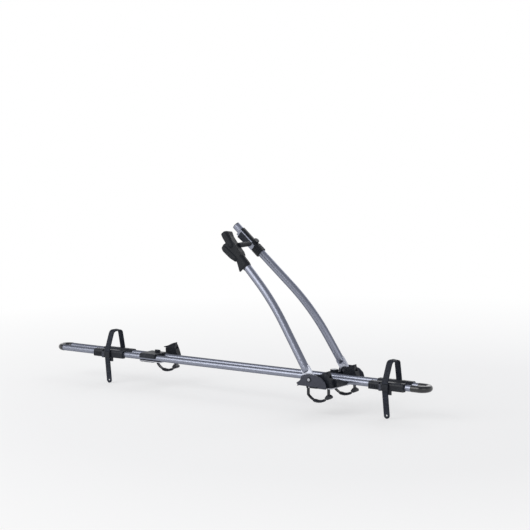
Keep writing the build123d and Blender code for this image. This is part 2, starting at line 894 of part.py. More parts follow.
def bar_pad(x, y0, y1, half):
    """Rubber pad on a load bar, grooved along the bar."""
    pad = block(x - half, x + half, y0, y1, 0, pad_thickness)
    for number in (-1, 1):
        groove_x = x + number * half * groove_share
        pad -= block(
            groove_x - groove_width / 2,
            groove_x + groove_width / 2,
            y0 - overrun,
            y1 + overrun,
            -overrun,
            groove_depth,
        )
    return pad


def foot_cover():
    """Moulded cover between the near clamp and the tray, sloping down to the tray."""
    y0 = near_clamp_y + clamp_width / 2 + gap
    y1 = -rail_width / 2 - gap
    crest = y0 + cover_flat
    shape = [(y0, rail_z), (y0, cover_high), (crest, cover_high), (y1, cover_low), (y1, rail_z)]
    face = outline(shape)
    corners = [v for v in face.vertices() if v.Y > rail_z + overrun]
    face = fillet(corners, cover_round)
    cover = along(face, cover_rear, cover_front)
    inner = offset(face, -cover_wall) + Pos((y0 + y1) / 2, rail_z) * Rectangle(
        y1 - y0 - 2 * cover_wall, 2 * cover_wall + 2 * overrun
    )
    return cover - along(inner, cover_rear + cover_wall, cover_front - cover_wall)


def far_nose():
    """Seat of the far foot's knob, in front of and above the hook's rings."""
    inner = far_tongue_y - tongue_thickness / 2 - tongue_gap - flange_thickness + overrun
    side = far_clamp_y + clamp_width / 2 + overrun
    shape = [
        (inner, rail_z),
        (side, rail_z),
        (side, nose_step),
        (nose_y - nose_half, nose_step),
        (nose_y - nose_half, nose_top),
        (inner, nose_top),
    ]
    nose = along(outline(shape), nose_x - nose_half, clevis_rear + 2 * overrun)
    return nose - upward(Pos(nose_x, nose_y) * Circle(knob_stem_radius + pin_fit), nose_step, nose_top)


def foot_knob():
    """Round knob on the far foot, with finger notches round its rim."""
    low = nose_top + gap
    knob = upward(Pos(nose_x, nose_y) * Circle(foot_knob_radius), low, low + foot_knob_height)
    knob = chamfer(knob.edges().sort_by(Axis.Z)[-1], edge_round)
    for number in range(foot_knob_notches):
        turn = Pos(nose_x, nose_y) * Rot(0, 0, number * full_turn / foot_knob_notches)
        notch = turn * Pos(foot_knob_radius + edge_round, 0)
        knob -= upward(notch * Circle(2 * edge_round), low - overrun, low + foot_knob_height + overrun)
    recess = Pos(nose_x, nose_y) * Circle(knob_disc_radius)
    knob -= upward(recess, low + foot_knob_height - edge_round, low + foot_knob_height + overrun)
    stem = Pos(nose_x, nose_y) * Circle(knob_stem_radius)
    return knob + upward(stem, nose_step + gap, low + overrun)


def knob_disc():
    """Light disc let into the top of the far foot's knob."""
    top = nose_top + gap + foot_knob_height
    disc = upward(Pos(nose_x, nose_y) * Circle(knob_disc_radius), top - edge_round, top + edge_round / 2)
    return fillet(disc.edges().sort_by(Axis.Z)[-1], edge_round / 4)


def tray_bolt(x):
    """Bolt with its head in the tray's slot."""
    head_low = rail_z + slot_lip
    head = Pos(x, 0) * Rectangle(bolt_head_width, bolt_head_width)
    head = upward(head, head_low, head_low + bolt_head_height)
    end = pad_thickness - nut_height - overrun
    return head + upward(Pos(x, 0) * Circle(tray_bolt_radius), end, head_low + overrun)


def tray_nut(x):
    """Flanged nut below the foot's plate."""
    hexagon = RegularPolygon(nut_width / 2, 6) - Circle(tray_bolt_radius)
    nut = upward(Pos(x, 0) * hexagon, pad_thickness - nut_height, pad_thickness)
    flange = Circle(nut_width / 2 + overrun) - Circle(tray_bolt_radius)
    return nut + upward(Pos(x, 0) * flange, pad_thickness - overrun, pad_thickness)


# Rear foot

def saddle():
    """Band over the tray, open below on its near side, with a broad foot on the far side."""
    half = rail_width / 2
    top = rail_top + gap + saddle_cover
    base = rail_z - gap
    near = half + saddle_side
    foot_y = rear_clamp_y - clamp_width / 2 - gap
    shape = [
        (-near, saddle_skirt),
        (-near, top - saddle_slope),
        (-near + saddle_slope, top),
        (near - saddle_slope, top),
        (near, top - saddle_slope),
        (near + saddle_slope, base + 2 * saddle_side),
        (foot_y, base + saddle_side),
        (foot_y, base),
        (half - edge_round, base),
        (half - edge_round, saddle_skirt),
    ]
    face = outline(shape)
    face = fillet([v for v in face.vertices() if v.Y > base + overrun], edge_round)
    x = -bar_spacing + saddle_offset
    body = along(face - rail_space(), x - saddle_length / 2, x + saddle_length / 2)
    for number in range(saddle_ribs):
        rib_x = x + (number - (saddle_ribs - 1) / 2) * saddle_rib_pitch
        body += block(
            rib_x - edge_round,
            rib_x + edge_round,
            near - saddle_side / 2,
            near + saddle_slope,
            base,
            top - 2 * saddle_slope,
        )
    hole = Pos(knob_x, knob_y) * Circle(knob_stem_radius + pin_fit)
    return body - upward(hole, rail_top, top + overrun)


def saddle_knob():
    """Wing grip on a stem that presses on the tray."""
    top = rail_top + gap + saddle_cover
    grip = Pos(knob_x, knob_y) * RectangleRounded(knob_length, knob_width, knob_width / 3)
    grip = upward(grip, top + gap, top + gap + knob_height)
    grip = fillet(grip.edges().group_by(Axis.Z)[-1], edge_round)
    for side in (-1, 1):
        for face in (-1, 1):
            scoop = Pos(knob_x + side * knob_length / 4, knob_y + face * knob_width)
            grip -= upward(scoop * Circle(knob_width * scoop_share), top, top + 2 * knob_height)
    stem = Pos(knob_x, knob_y) * Circle(knob_stem_radius)
    return grip + upward(stem, rail_top + gap, top + gap + overrun)


def rear_plate():
    """Steel plate below the rear foot, with the hook's rings."""
    x0 = -bar_spacing - foot_rear
    x1 = -bar_spacing + foot_front
    y1 = rear_clamp_y + clamp_width / 2 + overrun
    face = Pos((x0 + x1) / 2, (rear_plate_near + y1) / 2) * Rectangle(x1 - x0, y1 - rear_plate_near)
    face = fillet(face.vertices(), foot_corner)
    face -= leg_window(-bar_spacing, rear_clamp_y)
    plate = upward(face, pad_thickness, rail_z - gap)
    return plate + hook_knuckles(-bar_spacing, rear_clamp_y, pad_thickness)


# Arms

def arm_plane(y, slope, lower):
    """Leaning plane that holds an arm's line above the fold of its tongue."""
    knee_z = pivot_z + tongue_fold * sin(radians(lower))
    return Plane(origin=(0, y, knee_z), x_dir=(1, 0, 0), z_dir=(0, -1, slope))


def arm_line(y, slope, lower, upper, straight, radius, reach):
    """Line of an arm from the fold of its tongue to its top, in space."""
    angle = radians(lower)
    start = Vector(pivot_x - tongue_fold * cos(angle), 0)
    first = Vector(-cos(angle), sin(angle))
    bend = start + first * (straight - tongue_fold)
    arc = JernArc(start=bend, tangent=first, radius=radius, arc_size=lower - upper)
    last = arc % 1
    rest = reach - straight - arc.length
    flat = Polyline(start, bend) + arc + Polyline(arc @ 1, arc @ 1 + last * rest)
    return arm_plane(y, slope, lower) * Wire(flat.edges())


def arm_seat(line, slope, distance):
    """Plane square to an arm: local x to the near side, local y up and to the front."""
    place = distance - tongue_fold
    tangent = line.tangent_at(place, PositionMode.LENGTH)
    origin = line.position_at(place, PositionMode.LENGTH)
    return Plane(origin=origin, x_dir=(0, -1, slope), z_dir=tangent)


def arm_side(line, slope, distance):
    """Plane of an arm seen from the side: local x up the arm, local y up and to the front."""
    seat = arm_seat(line, slope, distance)
    return Plane(origin=seat.origin, x_dir=seat.z_dir, z_dir=-seat.x_dir)


def arm_tube(line, slope, places, deeps, wide):
    """Oval tube along an arm's line: even as far as the second place, then tapered or even."""
    first = arm_seat(line, slope, places[0]) * Ellipse(wide / 2, deeps[0] / 2)
    start = (places[0] - tongue_fold) / line.length
    end = (places[1] - tongue_fold) / line.length
    tube = sweep(first, path=line.trim(start, end))
    for a, b, deep_a, deep_b in zip(places[1:], places[2:], deeps[1:], deeps[2:]):
        lower = arm_seat(line, slope, a) * Ellipse(wide / 2, deep_a / 2)
        upper = arm_seat(line, slope, b) * Ellipse(wide / 2, deep_b / 2)
        tube += loft([lower, upper], ruled=True)
    return tube


def tongue(y, slope, lower, core, width):
    """Folded steel tongue: an eye on the pivot and a tenon inside the tube."""
    half = tongue_thickness / 2
    knee_z = arm_plane(y, slope, lower).origin.Z
    angle = radians(lower)
    turn = Rot(0, 0, full_turn / 2 - lower)
    way = Pos(pivot_x, pivot_z) * turn
    eye = Circle(width / 2) + Pos(tongue_length / 2, 0) * Rectangle(tongue_length, width)
    upright = across(way * eye, y - half, y + half)
    beyond = 2 * width
    upright -= block(pivot_x - beyond, pivot_x + beyond, y - width, y + width, knee_z, knee_z + beyond)
    fold = arm_plane(y, slope, lower)
    knee_x = pivot_x - tongue_fold * cos(angle)
    rest = tongue_length - tongue_fold
    blade = Pos(knee_x, 0) * turn * Pos(rest - width, 0) * Rectangle(beyond, width)
    blade -= Pos(knee_x, -width) * Rectangle(2 * beyond, beyond)
    leaning = extrude(fold * blade, amount=half, both=True)
    slab = extrude(fold * Pos(knee_x, 0) * Rectangle(4 * beyond, 4 * beyond), amount=half, both=True)
    bore = bar_y(pivot_x, pivot_z, pivot_radius + pin_fit, y - half, y + half)
    return upright + leaning + (core & slab) - bore


def arm_rivets(line, slope, wide):
    """Rivets through an arm's tube and tenon."""
    made = []
    for number in range(arm_rivet_count):
        place = tongue_length + arm_rivet_step * (number + rivet_start_share)
        seat = arm_side(line, slope, place)
        half = wide / 2
        made.append(extrude(seat * Circle(arm_rivet_radius), amount=half, both=True))
        for side in (-1, 1):
            cap = seat.offset(side * half) * Circle(arm_rivet_radius + arm_rivet_head)
            made.append(extrude(cap, amount=arm_rivet_head / 2, both=True))
    return Part() + made


# Near claw

def claw(line, tube):
    """Moulded claw on the near arm: an oval sleeve with a fin, and a paddle with two lobes."""
    side = arm_side(line, near_lean, claw_seat)
    half = claw_thickness / 2
    face = make_face(FilletPolyline(*claw_points, radius=claw_radii, close=True))
    body = extrude(side * face, amount=half, both=True)
    body += lobe(side, lobe_low, lobe_low_radius)
    body += lobe(side, lobe_high, lobe_high_radius)
    body += oval_ring(line, -claw_sleeve, pad_start, claw_wall)
    body += oval_ring(line, -claw_sleeve - claw_ring, -claw_sleeve + overrun, claw_ring_wall)
    fin = make_face(Polyline(*fin_points, close=True))
    body += extrude(side.offset(-fin_near) * fin, amount=fin_thickness)
    return body - tube


def oval_ring(line, start, end, wall):
    """Oval rod round the near arm, between two places measured from the claw's seat."""
    seat = arm_seat(line, near_lean, claw_seat + start)
    oval = Ellipse(near_tube_wide / 2 + wall, near_tube_top / 2 + wall)
    return extrude(seat * oval, amount=end - start)


def lobe(side, places, radius):
    """Rounded swelling on the claw's near face, between two places up the arm and across it."""
    depth = radius * lobe_share - claw_thickness / 2
    start, end = [(side * Pos(a, n, depth)).position for a, n in places]
    seat = Plane(origin=start, z_dir=end - start)
    rod = extrude(seat * Circle(radius), amount=(end - start).length)
    return rod + Pos(start) * Sphere(radius) + Pos(end) * Sphere(radius)


def claw_pad(line):
    """Soft pad on the claw's inner face, fluted square to the arm."""
    side = arm_side(line, near_lean, claw_seat)
    half = claw_thickness / 2
    face = Pos((pad_start + pad_end) / 2, pad_middle) * RectangleRounded(
        pad_end - pad_start, claw_pad_width, 2 * pad_depth / 3
    )
    pad = extrude(side.offset(half) * face, amount=pad_depth)
    pitch = (pad_end - pad_start) / pad_flutes
    for number in range(1, pad_flutes):
        flute = side.offset(half + pad_depth) * Pos(pad_start + number * pitch, pad_middle)
        rod = Cylinder(flute_radius, claw_pad_width, rotation=(90, 0, 0))
        pad -= flute * rod
    return pad


def cross_finger(line):
    """Rounded finger that reaches under the frame tube from the near claw."""
    side = arm_side(line, near_lean, claw_seat)
    place = (side * Pos(finger_along, finger_across, finger_root)).position
    end_y = place.Y + finger_length - finger_radius
    rod = bar_y(place.X, place.Z, finger_radius, place.Y, end_y)
    return rod + Pos(place.X, end_y, place.Z) * Sphere(finger_radius)


# Far jaw

def far_frame(line):
    return arm_side(line, far_lean, jaw_seat)


def sleeve_barrel(line):
    """Rounded barrel of the sleeve, without its bore."""
    seat = arm_seat(line, far_lean, jaw_seat)
    section = RectangleRounded(2 * sleeve_half, 2 * sleeve_above, sleeve_round)
    return extrude(seat * section, amount=sleeve_length)


def collar_section(rise):
    """Section of the collar, grown by a rise."""
    section = RectangleRounded(2 * (collar_half + rise), 2 * (collar_above + rise), collar_round)
    return Pos(0, -collar_drop) * section


def far_sleeve(line, core):
    """Sleeve that slides on the far arm, with a ribbed collar at its lower end."""
    seat = arm_seat(line, far_lean, jaw_seat)
    sleeve = sleeve_barrel(line) + extrude(seat * collar_section(0), amount=collar_length)
    pitch = collar_length / collar_ribs
    for number in range(collar_ribs):
        start = seat.offset((number + rib_share / 2) * pitch)
        sleeve += extrude(start * collar_section(collar_rib_rise), amount=pitch * rib_share)
    knob_seat = jaw_knob_seat(line)
    boss = extrude(knob_seat * Circle(jaw_knob_radius - edge_round), amount=-jaw_boss)
    hole = extrude(knob_seat * Circle(jaw_screw_radius + pin_fit), amount=-sleeve_above)
    return sleeve + boss - core - hole


def jaw_knob_seat(line):
    """Plane on top of the sleeve, square to it, where the knob sits."""
    side = far_frame(line)
    place = (side * Pos(jaw_knob_along, sleeve_above)).position
    return Plane(origin=place, z_dir=side.y_dir, x_dir=side.x_dir)


def jaw_knob(line):
    """Fluted knob that locks the sleeve."""
    seat = jaw_knob_seat(line).offset(gap)
    knob = Circle(jaw_knob_radius)
    for number in range(jaw_knob_flutes):
        turn = Rot(0, 0, number * full_turn / jaw_knob_flutes)
        knob -= turn * Pos(jaw_knob_radius + edge_round / 2, 0) * Circle(edge_round)
    solid = extrude(seat * knob, amount=jaw_knob_height)
    depth = sleeve_above - far_tube_deep / 2
    low = seat.offset(-depth)
    return solid + extrude(low * Circle(jaw_screw_radius), amount=depth + overrun)


def jaw_bracket(line):
    """Bright channel on the sleeve's near side that carries the pad."""
    seat = arm_seat(line, far_lean, jaw_seat)
    front = sleeve_half + bracket_thickness
    middle = Pos((bracket_back + front) / 2, bracket_middle)
    face = middle * RectangleRounded(front - bracket_back, bracket_width, edge_round)
    length = sleeve_length - collar_length
    channel = extrude(seat.offset(collar_length) * face, amount=length)
    return channel - sleeve_barrel(line) - extrude(seat * collar_section(0), amount=collar_length)


def jaw_pad(line):
    """Soft pad on the channel's near face, with a shallow cradle for the frame tube."""
    side = far_frame(line)
    near = -sleeve_half - bracket_thickness
    end = far_pad_start + far_pad_length
    face = outline(
        [
            (far_pad_start, near),
            (far_pad_start, near - far_pad_depth),
            ((far_pad_start + end) / 2, near - far_pad_depth / 2),
            (end, near - far_pad_depth),
            (end, near),
        ],
        edge_round / 2,
    )
    top = bracket_middle + bracket_width / 2
    seat = Plane(origin=side.origin, x_dir=side.x_dir, z_dir=-side.y_dir)
    return extrude(seat.offset(-top) * face, amount=bracket_width)


def arm_plug(line, reach, slope, deep, wide):
    """Cap in the upper end of an arm's tube."""
    seat = arm_seat(line, slope, reach - plug_depth)
    plug = extrude(seat * Ellipse(wide / 2 - tube_wall, deep / 2 - tube_wall), amount=plug_depth)
    lid = extrude(seat.offset(plug_depth) * Ellipse(wide / 2, deep / 2), amount=2 * edge_round)
    rim = lid.edges().sort_by(lambda edge: (edge.center() - seat.origin).dot(seat.z_dir))[-1]
    return plug + fillet(rim, edge_round)


# Pieces

near_line = arm_line(
    near_tongue_y,
    near_lean,
    near_lower_angle,
    near_upper_angle,
    near_straight,
    near_bend_radius,
    near_reach,
)
far_line = arm_line(
    far_tongue_y,
    far_lean,
    far_lower_angle,
    far_upper_angle,
    far_straight,
    far_bend_radius,
    far_reach,
)
near_bend_end = near_straight + near_bend_radius * radians(near_lower_angle - near_upper_angle)
far_bend_end = far_straight + far_bend_radius * radians(far_lower_angle - far_upper_angle)
near_places = [tongue_length, near_bend_end, claw_seat, near_reach]
near_deeps = [near_tube_deep, near_tube_deep, near_tube_top, near_tube_top]
far_places = [tongue_length, far_bend_end, far_reach]
far_deeps = [far_tube_deep] * len(far_places)


def hollow_tube(line, slope, places, deeps, wide):
    """Outer and inner form of an arm's tube."""
    outer = arm_tube(line, slope, places, deeps, wide)
    thin = [deep - 2 * tube_wall for deep in deeps]
    inner = arm_tube(line, slope, places, thin, wide - 2 * tube_wall)
    return outer, inner


near_outer, near_core = hollow_tube(near_line, near_lean, near_places, near_deeps, near_tube_wide)
far_outer, far_core = hollow_tube(far_line, far_lean, far_places, far_deeps, far_tube_wide)
near_rivets = arm_rivets(near_line, near_lean, near_tube_wide)
far_rivets = arm_rivets(far_line, far_lean, far_tube_wide)


def tenon(core, line, slope):
    """The part of a tube's inside that the tongue's tenon fills."""
    side = arm_side(line, slope, tongue_length)
    reach = Pos(spigot_length / 2, 0) * Rectangle(spigot_length, 2 * near_tube_deep)
    return core & extrude(side * reach, amount=near_tube_wide, both=True)


near_tongue = tongue(
    near_tongue_y,
    near_lean,
    near_lower_angle,
    tenon(near_core, near_line, near_lean),
    tongue_width,
)
far_tongue = tongue(
    far_tongue_y,
    far_lean,
    far_lower_angle,
    tenon(far_core, far_line, far_lean),
    far_tongue_width,
)

jaw_bore = extrude(
    arm_seat(far_line, far_lean, jaw_seat - overrun)
    * Ellipse(far_tube_wide / 2 + gap, far_tube_deep / 2 + gap),
    amount=sleeve_length + 2 * overrun,
)
front_clamps = (("near", near_clamp_y), ("far", far_clamp_y))
holders = (("front", front_holder_x), ("rear", rear_holder_x))

os.makedirs("parts", exist_ok=True)

save("rail", along(rail_profile(), rail_rear, rail_front))
save("front_end_loop", end_cap(rail_front, 1, front_cap_prong))
save("rear_end_loop", end_cap(rail_rear, -1, rear_cap_prong))

save("front_foot_plate", foot_plate())
save("front_foot_pad", bar_pad(0, -near_plate_end, far_plate_end, pad_width / 2))
save("front_foot_cover", foot_cover())
save("near_clevis", clevis(near_tongue_y))
save("far_clevis", clevis(far_tongue_y) + far_nose())
save("near_cheek", side_cheek(near_tongue_y))
save("far_cheek", side_cheek(far_tongue_y))
save("arm_pivot_pins", pivot_pin(near_tongue_y), pivot_pin(far_tongue_y))
save("pivot_washers", pivot_washer(near_tongue_y), pivot_washer(far_tongue_y))
save("skirt_rivets", low_rivet(near_tongue_y), low_rivet(far_tongue_y))
save("tray_bolts", tray_bolt(-tray_bolt_x), tray_bolt(tray_bolt_x))
save("tray_nuts", tray_nut(-tray_bolt_x), tray_nut(tray_bolt_x))
save("foot_knob", foot_knob())
save("foot_knob_disc", knob_disc())

for name, y in front_clamps:
    save(f"{name}_clamp_housing", clamp_housing(0, y, rail_z))
    save(f"{name}_clamp_lever", clamp_lever(0, y))
    save(f"{name}_clamp_hook", clamp_hook(0, y))
save("front_clamp_pins", *[clamp_pin(0, y) for name, y in front_clamps])
save("front_hook_rods", *[hook_rod(0, y) for name, y in front_clamps])

save("rear_plate", rear_plate())
save(
    "rear_pad",
    bar_pad(-bar_spacing, rear_plate_near, rear_clamp_y + clamp_width / 2, pad_width / 2),
)
save("rear_saddle", saddle())
save("saddle_knob", saddle_knob())
save("rear_clamp_housing", clamp_housing(-bar_spacing, rear_clamp_y, rail_z - gap))
save("rear_clamp_lever", clamp_lever(-bar_spacing, rear_clamp_y))
save("rear_clamp_hook", clamp_hook(-bar_spacing, rear_clamp_y))
save("rear_clamp_pin", clamp_pin(-bar_spacing, rear_clamp_y))
save("rear_hook_rod", hook_rod(-bar_spacing, rear_clamp_y))

for name, x0 in holders:
    save(f"{name}_cradle", cradle(x0))
    save(f"{name}_clamp_block", clamp_block(x0))
    save(f"{name}_strap", ladder_strap(x0))
    save(f"{name}_release_lever", release_lever(x0))
    save(f"{name}_release_pin", release_pin(x0))
    save(f"{name}_anchor_pin", anchor_pin(x0))

save("near_arm_tube", near_outer - near_core - near_rivets)
save("near_arm_tongue", near_tongue - near_rivets)
save("near_arm_rivets", near_rivets)
save("near_claw", claw(near_line, near_outer) - cross_finger(near_line))
save("near_claw_pad", claw_pad(near_line) - cross_finger(near_line))
save("cross_finger", cross_finger(near_line))

save("far_arm_tube", far_outer - far_core - far_rivets)
save("far_arm_tongue", far_tongue - far_rivets)
save("far_arm_rivets", far_rivets)
save("far_arm_plug", arm_plug(far_line, far_reach, far_lean, far_tube_deep, far_tube_wide))
save("far_jaw_sleeve", far_sleeve(far_line, jaw_bore))
save("far_jaw_bracket", jaw_bracket(far_line))
save("far_jaw_pad", jaw_pad(far_line))
save("far_jaw_knob", jaw_knob(far_line))
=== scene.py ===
import json
import math

import bmesh
import bpy
from mathutils import Matrix, Vector


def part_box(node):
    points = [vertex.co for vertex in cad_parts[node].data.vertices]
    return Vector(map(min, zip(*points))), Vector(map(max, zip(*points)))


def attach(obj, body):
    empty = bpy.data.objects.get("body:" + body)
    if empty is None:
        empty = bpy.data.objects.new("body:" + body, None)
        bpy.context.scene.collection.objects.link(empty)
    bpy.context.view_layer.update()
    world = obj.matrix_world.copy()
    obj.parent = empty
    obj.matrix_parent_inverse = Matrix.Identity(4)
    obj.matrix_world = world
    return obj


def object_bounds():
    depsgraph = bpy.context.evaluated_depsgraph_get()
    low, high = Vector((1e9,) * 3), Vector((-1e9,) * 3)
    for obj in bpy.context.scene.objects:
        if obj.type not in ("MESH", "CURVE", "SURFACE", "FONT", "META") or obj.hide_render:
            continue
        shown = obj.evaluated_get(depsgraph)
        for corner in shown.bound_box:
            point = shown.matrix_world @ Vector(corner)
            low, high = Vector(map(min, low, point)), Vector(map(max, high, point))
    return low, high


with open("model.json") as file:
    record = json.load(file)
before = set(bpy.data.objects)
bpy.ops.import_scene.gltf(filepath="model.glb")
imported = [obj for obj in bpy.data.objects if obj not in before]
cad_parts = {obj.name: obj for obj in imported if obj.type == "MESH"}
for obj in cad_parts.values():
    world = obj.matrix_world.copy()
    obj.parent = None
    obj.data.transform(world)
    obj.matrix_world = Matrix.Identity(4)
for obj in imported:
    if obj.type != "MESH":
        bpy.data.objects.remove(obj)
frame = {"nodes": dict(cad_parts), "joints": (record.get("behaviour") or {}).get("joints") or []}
nodes = frame["nodes"]
cad_box = [list(corner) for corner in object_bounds()]
joint_places = {
    joint["child"]: Vector(joint["pos_m"]) for joint in frame["joints"] if joint.get("pos_m")
}
scene = bpy.context.scene


# Shader nodes

def group(name, outputs, inputs=()):
    """Empty shader group with named sockets, with its input and output nodes."""
    tree = bpy.data.node_groups.new(name, "ShaderNodeTree")
    for label, kind, value in inputs:
        socket = tree.interface.new_socket(label, in_out="INPUT", socket_type=kind)
        socket.default_value = value
    for label, kind in outputs:
        tree.interface.new_socket(label, in_out="OUTPUT", socket_type=kind)
    return tree, tree.nodes.new("NodeGroupInput"), tree.nodes.new("NodeGroupOutput")


def add(tree, kind, **settings):
    """Node of a kind, with its settings."""
    node = tree.nodes.new(kind)
    for key, value in settings.items():
        setattr(node, key, value)
    return node


def place(tree, stretch=(1, 1, 1)):
    """Object coordinates, in metres, stretched."""
    where = add(tree, "ShaderNodeTexCoord")
    scaled = add(tree, "ShaderNodeMapping")
    scaled.inputs["Scale"].default_value = stretch
    tree.links.new(where.outputs["Object"], scaled.inputs["Vector"])
    return scaled.outputs[0]


def noise(tree, vector, scale, detail, rough=0.55):
    """Noise with so many patches a metre, from 0 to 1."""
    node = add(tree, "ShaderNodeTexNoise")
    node.inputs["Scale"].default_value = scale
    node.inputs["Detail"].default_value = detail
    node.inputs["Roughness"].default_value = rough
    tree.links.new(vector, node.inputs["Vector"])
    return node.outputs["Fac"]


def spread(tree, value, low, high, to_low=0.0, to_high=1.0):
    """Map a value's range to another, held at its ends."""
    node = add(tree, "ShaderNodeMapRange")
    node.inputs["From Min"].default_value = low
    node.inputs["From Max"].default_value = high
    node.inputs["To Min"].default_value = to_low
    node.inputs["To Max"].default_value = to_high
    tree.links.new(value, node.inputs["Value"])
    return node.outputs["Result"]


def math_node(tree, operation, a, b):
    """Sum, product or the like of two sockets."""
    node = add(tree, "ShaderNodeMath", operation=operation)
    tree.links.new(a, node.inputs[0])
    tree.links.new(b, node.inputs[1])
    return node.outputs[0]


MIX_SHARE = 0                    # the Mix node's sockets: the share,
MIX_COLOURS = (6, 7)             # the two colours
MIXED_COLOUR = 2                 # and the colour that comes out


def blend_colour(tree, share, *colours):
    """Colour mix of two colours or sockets by a mask."""
    node = add(tree, "ShaderNodeMix", data_type="RGBA")
    tree.links.new(share, node.inputs[MIX_SHARE])
    for number, value in zip(MIX_COLOURS, colours):
        if isinstance(value, tuple):
            node.inputs[number].default_value = (*value, 1.0)
        else:
            tree.links.new(value, node.inputs[number])
    return node.outputs[MIXED_COLOUR]


BUMP_HEIGHT = 0.0004             # metres, at full strength


def bumped(tree, height, depth):
    """Normal that a height map raises, by the strength in depth."""
    bump = add(tree, "ShaderNodeBump")
    bump.inputs["Distance"].default_value = BUMP_HEIGHT
    tree.links.new(depth, bump.inputs["Strength"])
    tree.links.new(height, bump.inputs["Height"])
    return bump.outputs[0]


# Effects that the materials share

OUTER_EDGE = (0.545, 0.63)       # pointiness is 0.5 on a flat face and more on an outer edge
INNER_CORNER = (0.47, 0.40)      # and less in a corner
SCRATCH_RUNS = ((22.0, 900.0, 500.0), (700.0, 60.0, 90.0))


def make_grain():
    """Moulded grain: a mottle, dust on what faces up, and a bumped normal."""
    tree, start, end = group(
        "mould_grain",
        [("Mottle", "NodeSocketFloat"), ("Dust", "NodeSocketFloat"), ("Normal", "NodeSocketVector")],
        [("Scale", "NodeSocketFloat", 1.0), ("Depth", "NodeSocketFloat", 0.1)],
    )
    sized = add(tree, "ShaderNodeVectorMath", operation="SCALE")
    tree.links.new(place(tree), sized.inputs[0])
    tree.links.new(start.outputs["Scale"], sized.inputs["Scale"])
    mottle = noise(tree, sized.outputs[0], 24.0, 4.0)
    fine = noise(tree, sized.outputs[0], 1500.0, 2.0)
    drifts = noise(tree, sized.outputs[0], 11.0, 6.0, 0.7)
    facing = add(tree, "ShaderNodeNewGeometry")
    parts = add(tree, "ShaderNodeSeparateXYZ")
    tree.links.new(facing.outputs["Normal"], parts.inputs[0])
    upward = spread(tree, parts.outputs["Z"], 0.2, 0.95)
    dust = math_node(tree, "MULTIPLY", upward, spread(tree, drifts, 0.42, 0.72))
    tree.links.new(mottle, end.inputs["Mottle"])
    tree.links.new(dust, end.inputs["Dust"])
    tree.links.new(bumped(tree, fine, start.outputs["Depth"]), end.inputs["Normal"])
    return tree


def make_drawn():
    """Lines left by the die or the brush, turned along the piece, with handling marks."""
    tree, start, end = group(
        "drawn_lines",
        [("Lines", "NodeSocketFloat"), ("Marks", "NodeSocketFloat"), ("Normal", "NodeSocketVector")],
        [
            ("Turn", "NodeSocketVector", (0, 0, 0)),
            ("Stretch", "NodeSocketVector", (1, 1, 1)),
            ("Depth", "NodeSocketFloat", 0.05),
        ],
    )
    where = add(tree, "ShaderNodeTexCoord")
    turned = add(tree, "ShaderNodeVectorRotate", rotation_type="EULER_XYZ")
    tree.links.new(where.outputs["Object"], turned.inputs["Vector"])
    tree.links.new(start.outputs["Turn"], turned.inputs["Rotation"])
    sized = add(tree, "ShaderNodeVectorMath", operation="MULTIPLY")
    tree.links.new(turned.outputs[0], sized.inputs[0])
    tree.links.new(start.outputs["Stretch"], sized.inputs[1])
    lines = noise(tree, sized.outputs[0], 1.0, 4.0, 0.6)
    marks = noise(tree, where.outputs["Object"], 16.0, 6.0, 0.72)
    tree.links.new(lines, end.inputs["Lines"])
    tree.links.new(spread(tree, marks, 0.52, 0.78), end.inputs["Marks"])
    tree.links.new(bumped(tree, lines, start.outputs["Depth"]), end.inputs["Normal"])
    return tree


def make_edges():
    """Rubbed outer edges, and the mask for painted shade in inner corners, both broken up by noise.
    """
    tree, _, end = group(
        "rubbed_edges_and_corner_shade", [("Worn", "NodeSocketFloat"), ("Corner Shade", "NodeSocketFloat")]
    )
    pointed = add(tree, "ShaderNodeNewGeometry").outputs["Pointiness"]
    sharp = spread(tree, pointed, *OUTER_EDGE)
    hollow = spread(tree, pointed, *INNER_CORNER)
    broken = noise(tree, place(tree), 160.0, 4.0)
    worn = math_node(tree, "MULTIPLY", sharp, spread(tree, broken, 0.4, 0.65))
    # painted shade: mask of the inner corners, where the materials darken their colour
    corner = math_node(tree, "MULTIPLY", hollow, spread(tree, broken, 0.3, 0.6))
    tree.links.new(worn, end.inputs["Worn"])
    tree.links.new(corner, end.inputs["Corner Shade"])
    return tree


def make_scuffs():
    """Short hairline scratches in two directions, in patches."""
    tree, start, end = group(
        "hair_scratches",
        [("Scratch", "NodeSocketFloat")],
        [("Amount", "NodeSocketFloat", 0.5)],
    )
    hairs = [
        spread(tree, noise(tree, place(tree, run), 1.0, 2.0, 0.5), 0.68, 0.74)
        for run in SCRATCH_RUNS
    ]
    patches = spread(tree, noise(tree, place(tree), 30.0, 2.0), 0.5, 0.62)
    patchy = math_node(tree, "MULTIPLY", math_node(tree, "MAXIMUM", *hairs), patches)
    amount = math_node(tree, "MULTIPLY", patchy, start.outputs["Amount"])
    tree.links.new(amount, end.inputs["Scratch"])
    return tree


GRAIN = make_grain()
DRAWN = make_drawn()
EDGES = make_edges()
SCUFFS = make_scuffs()


# Materials

DUST = (0.10, 0.11, 0.135)
ALONG = (3.0, 420.0, 420.0)      # lines along the tray or an arm
EVEN = (160.0, 160.0, 160.0)     # plating, the same each way
ARM_TURN = -48.0                 # degrees from the arms' mean direction to the tray's


def use(tree, shared, **values):
    """A shared effect, with this material's own values."""
    node = add(tree, "ShaderNodeGroup", node_tree=shared)
    for key, value in values.items():
        node.inputs[key.title()].default_value = value
    return node


def layer(tree, base, mask, most, colour):
    """Lay a colour over the base where the mask is, with most as its largest share."""
    return blend_colour(tree, spread(tree, mask, 0.0, 1.0, 0.0, most), base, colour)


def material(name):
    """New material, with its node tree and its shader."""
    made = bpy.data.materials.new(name)
    made.use_nodes = True
    return made, made.node_tree, made.node_tree.nodes["Principled BSDF"]


